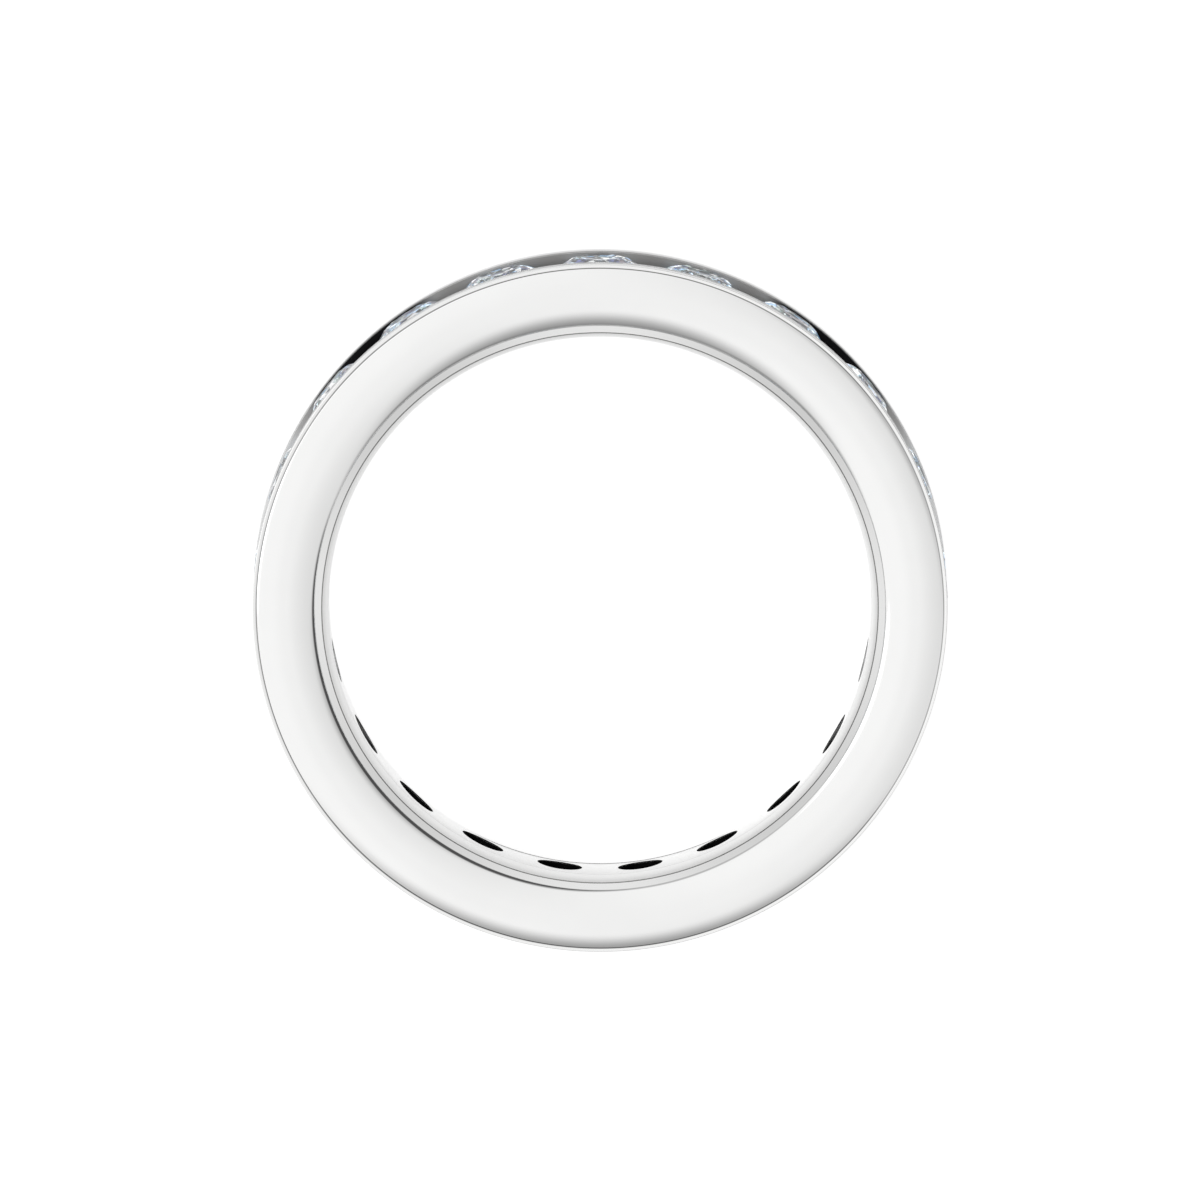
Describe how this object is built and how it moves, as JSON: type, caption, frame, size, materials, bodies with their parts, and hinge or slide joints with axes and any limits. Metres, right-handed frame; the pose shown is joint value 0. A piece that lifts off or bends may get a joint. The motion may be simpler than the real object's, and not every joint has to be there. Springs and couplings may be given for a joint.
{
  "type": "channel set band ring",
  "caption": "Full eternity finger ring with round brilliant stones held between two polished rails; comfort-fit bore with a setting hole under each stone.",
  "frame": {"origin": "centre of the ring's lower side face, on the surface that the ring lies on", "axes": "+Z along the ring's axis; +Y through the middle of stone_01, the stone at the top of the picture; +X to the picture's right"},
  "size_m": [0.0222, 0.0222, 0.0038],
  "materials": {
    "white_metal": "mirror-polished white gold",
    "stone": "faceted, clear and colourless"
  },
  "bodies": {
    "root": {"band": "white_metal", "stone_01": "stone", "stone_02": "stone", "stone_03": "stone", "stone_04": "stone", "stone_05": "stone", "stone_06": "stone", "stone_07": "stone", "stone_08": "stone", "stone_09": "stone", "stone_10": "stone", "stone_11": "stone", "stone_12": "stone", "stone_13": "stone", "stone_14": "stone", "stone_15": "stone", "stone_16": "stone", "stone_17": "stone", "stone_18": "stone", "stone_19": "stone", "stone_20": "stone", "stone_21": "stone"}
  },
  "joints": []
}
